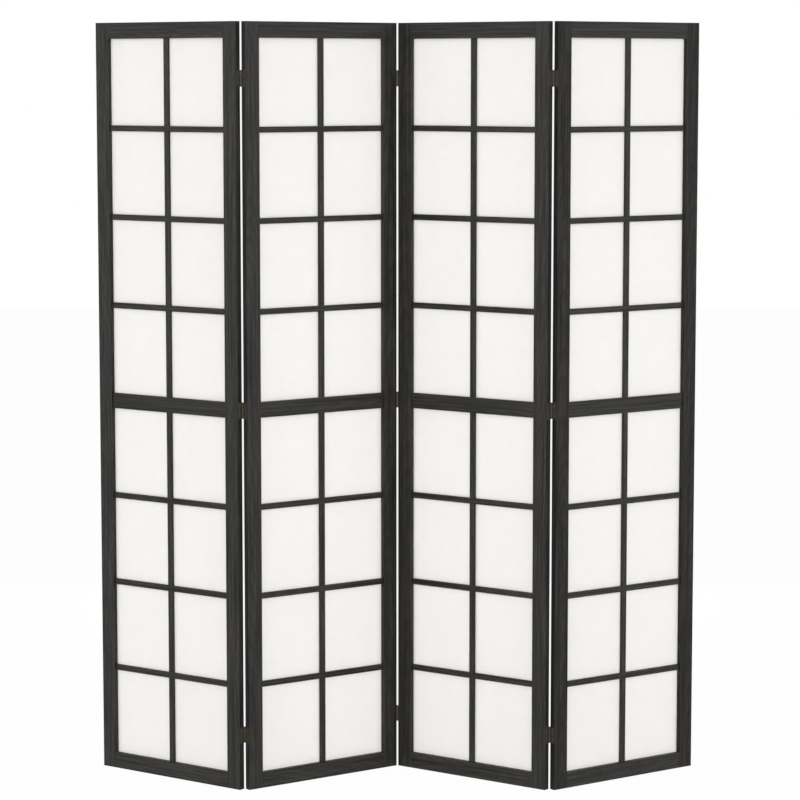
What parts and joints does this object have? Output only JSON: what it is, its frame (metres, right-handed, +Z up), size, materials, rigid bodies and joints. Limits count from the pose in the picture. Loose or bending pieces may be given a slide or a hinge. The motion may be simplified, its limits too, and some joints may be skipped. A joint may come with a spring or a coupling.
{
  "type": "shoji folding screen",
  "caption": "Free-standing folding screen: stained wooden frames hold paper between muntin lattices, joined in a zigzag by butt hinges.",
  "frame": {"origin": "middle of the standing screen's footprint, on the floor, midway between the outer edges", "axes": "+Z up, +X along the screen to the viewer's right, -Y towards the front; the middle fold lies at +Y and its pins on X = 0"},
  "size_m": [1.426, 0.2582, 1.79],
  "materials": {
    "stained_wood": "black-stained softwood, satin",
    "shoji_paper": "white fibre paper, matt",
    "hinge_bronze": "dark antique bronze, satin"
  },
  "bodies": {
    "panel_1": {"panel1_left_stile": "stained_wood", "panel1_right_stile": "stained_wood", "panel1_bottom_rail": "stained_wood", "panel1_top_rail": "stained_wood", "panel1_lattice_front": "stained_wood", "panel1_lattice_back": "stained_wood", "panel1_mid_rail_front": "stained_wood", "panel1_mid_rail_back": "stained_wood", "panel1_paper": "shoji_paper", "hinge12_bottom_pin_leaf": "hinge_bronze", "hinge12_middle_pin_leaf": "hinge_bronze", "hinge12_top_pin_leaf": "hinge_bronze"},
    "panel_2": {"panel2_left_stile": "stained_wood", "panel2_right_stile": "stained_wood", "panel2_bottom_rail": "stained_wood", "panel2_top_rail": "stained_wood", "panel2_lattice_front": "stained_wood", "panel2_lattice_back": "stained_wood", "panel2_mid_rail_front": "stained_wood", "panel2_mid_rail_back": "stained_wood", "panel2_paper": "shoji_paper", "hinge12_bottom_free_leaf": "hinge_bronze", "hinge12_middle_free_leaf": "hinge_bronze", "hinge12_top_free_leaf": "hinge_bronze", "hinge23_bottom_pin_leaf": "hinge_bronze", "hinge23_middle_pin_leaf": "hinge_bronze", "hinge23_top_pin_leaf": "hinge_bronze"},
    "panel_3": {"panel3_left_stile": "stained_wood", "panel3_right_stile": "stained_wood", "panel3_bottom_rail": "stained_wood", "panel3_top_rail": "stained_wood", "panel3_lattice_front": "stained_wood", "panel3_lattice_back": "stained_wood", "panel3_mid_rail_front": "stained_wood", "panel3_mid_rail_back": "stained_wood", "panel3_paper": "shoji_paper", "hinge23_bottom_free_leaf": "hinge_bronze", "hinge23_middle_free_leaf": "hinge_bronze", "hinge23_top_free_leaf": "hinge_bronze", "hinge34_bottom_pin_leaf": "hinge_bronze", "hinge34_middle_pin_leaf": "hinge_bronze", "hinge34_top_pin_leaf": "hinge_bronze"},
    "panel_4": {"panel4_left_stile": "stained_wood", "panel4_right_stile": "stained_wood", "panel4_bottom_rail": "stained_wood", "panel4_top_rail": "stained_wood", "panel4_lattice_front": "stained_wood", "panel4_lattice_back": "stained_wood", "panel4_mid_rail_front": "stained_wood", "panel4_mid_rail_back": "stained_wood", "panel4_paper": "shoji_paper", "hinge34_bottom_free_leaf": "hinge_bronze", "hinge34_middle_free_leaf": "hinge_bronze", "hinge34_top_free_leaf": "hinge_bronze"}
  },
  "joints": [
    {"name": "fold_12", "type": "hinge", "parent": "panel_2", "child": "panel_1", "pos_m": [-0.35751, -0.11645, 0.895], "axis": [0, 0, 1], "range_deg": [-109, 71]},
    {"name": "fold_23", "type": "hinge", "parent": "panel_2", "child": "panel_3", "pos_m": [0, 0.11645, 0.895], "axis": [0, 0, 1], "range_deg": [-109, 71]},
    {"name": "fold_34", "type": "hinge", "parent": "panel_3", "child": "panel_4", "pos_m": [0.35751, -0.11645, 0.895], "axis": [0, 0, 1], "range_deg": [-71, 109]}
  ]
}
